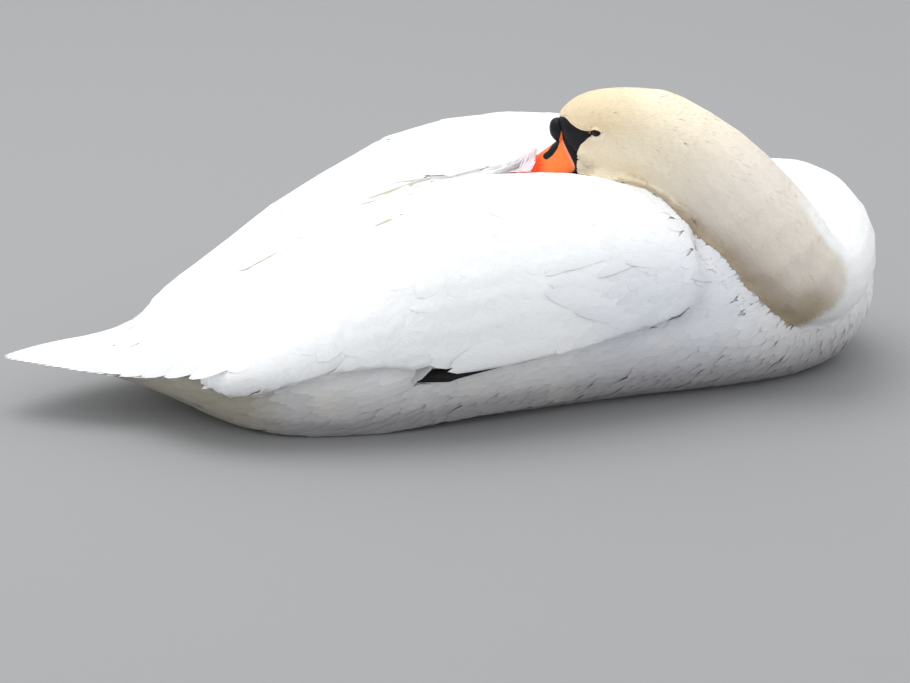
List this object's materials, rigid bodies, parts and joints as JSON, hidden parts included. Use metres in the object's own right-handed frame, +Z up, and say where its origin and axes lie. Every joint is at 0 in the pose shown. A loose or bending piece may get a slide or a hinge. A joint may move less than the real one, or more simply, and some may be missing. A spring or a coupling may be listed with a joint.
{
  "type": "mute swan",
  "caption": "Adult mute swan asleep on the ground, its neck folded back over the right wing and its bill tucked among the back feathers.",
  "frame": {"origin": "on the flat of the belly where it rests on the ground, under the middle of the body", "axes": "+X to the breast, +Y to the bird's left, +Z up"},
  "size_m": [0.852, 0.3594, 0.2876],
  "materials": {
    "plumage": "soft white feathers",
    "head_plumage": "short cream feathers",
    "bill_orange": "satin horn",
    "bill_black": "satin horn and bare skin",
    "eye": "wet, glossy",
    "leg_skin": "scaled black skin"
  },
  "bodies": {
    "root": {"trunk": "plumage", "tail": "plumage", "wing_right": "plumage", "wing_left": "plumage", "primaries_right": "plumage", "primaries_left": "plumage", "neck_base": "plumage", "neck_bend": "head_plumage", "neck_upper": "head_plumage", "head": "head_plumage", "bill_upper": "bill_orange", "bill_lower": "bill_black", "bill_knob": "bill_black", "eye_right": "eye", "eye_left": "eye", "leg_right": "leg_skin", "leg_left": "leg_skin", "foot_right": "leg_skin", "foot_left": "leg_skin"}
  },
  "joints": []
}
